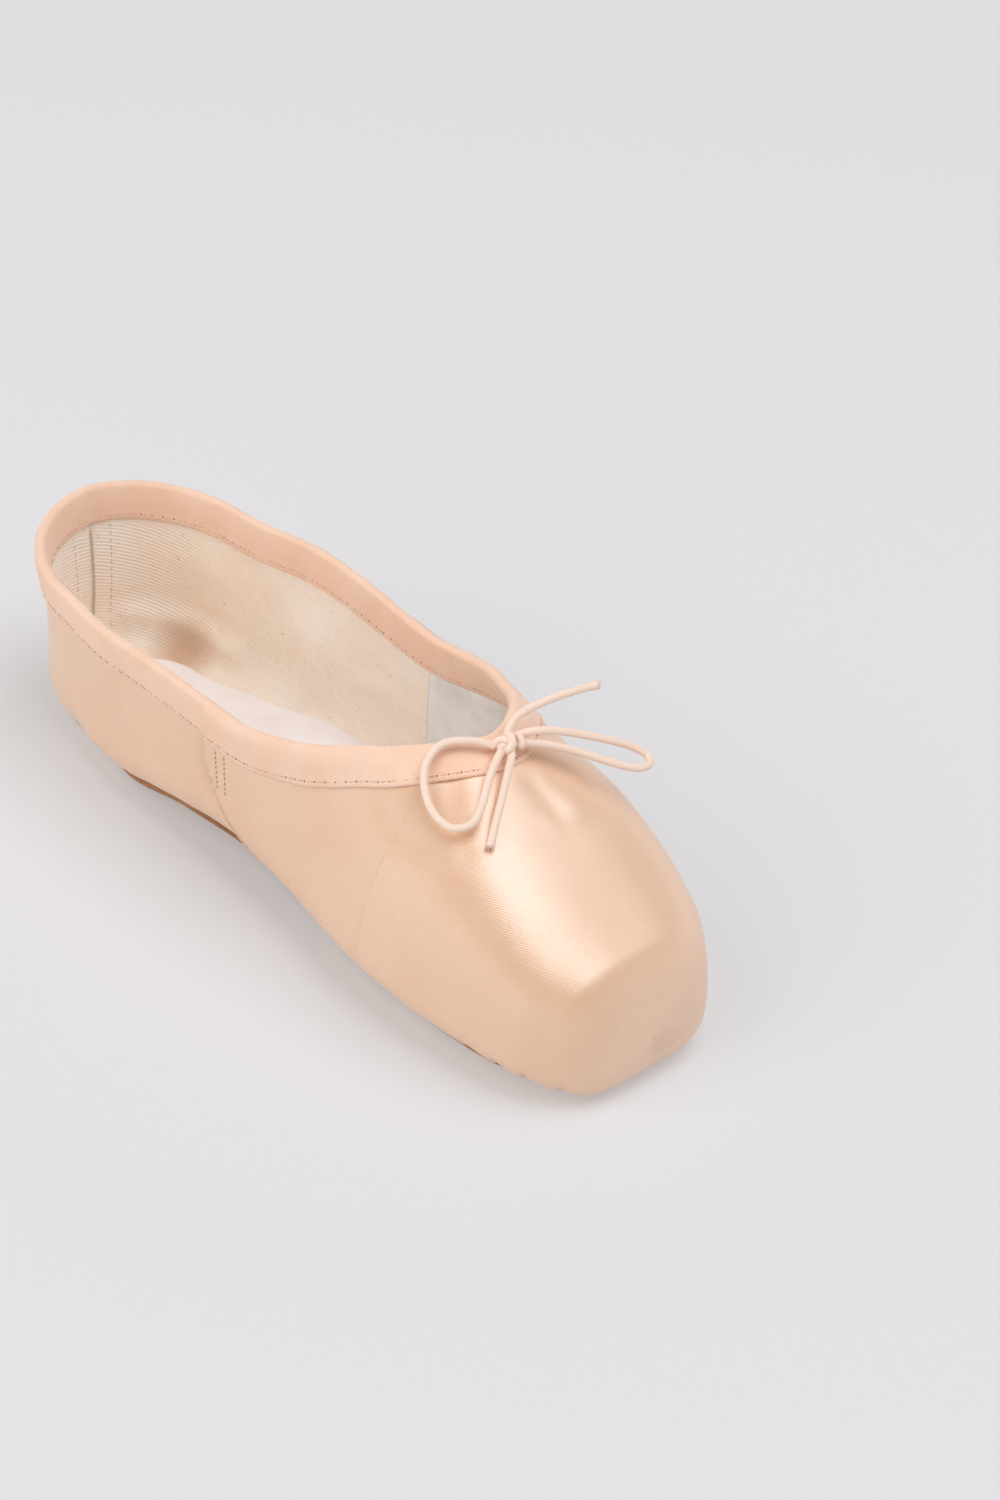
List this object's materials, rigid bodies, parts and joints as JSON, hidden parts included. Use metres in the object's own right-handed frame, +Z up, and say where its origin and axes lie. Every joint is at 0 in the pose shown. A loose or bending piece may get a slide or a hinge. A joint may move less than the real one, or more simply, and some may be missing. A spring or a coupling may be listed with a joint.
{
  "type": "pointe shoe",
  "caption": "Satin ballet pointe shoe with stiff box and flat platform, bound collar with drawstring bow, leather outsole and white insole.",
  "frame": {"origin": "on the floor, under the middle of the shoe's box", "axes": "+Z up, toe towards -Y, +X across the shoe"},
  "size_m": [0.087, 0.2458, 0.0853],
  "materials": {
    "satin": "peach satin, glossy",
    "tape": "matte cotton twill tape",
    "sole_leather": "tan leather, matte",
    "insole_cloth": "smooth white sock lining",
    "cord": "matte woven cotton cord",
    "lining": "cream cotton drill"
  },
  "bodies": {
    "root": {"upper": "satin", "binding": "tape", "outsole": "sole_leather", "insole": "insole_cloth", "bow_knot": "cord", "bow_loop_near": "cord", "bow_loop_far": "cord", "bow_end_up": "cord", "bow_end_down": "cord"}
  },
  "joints": []
}
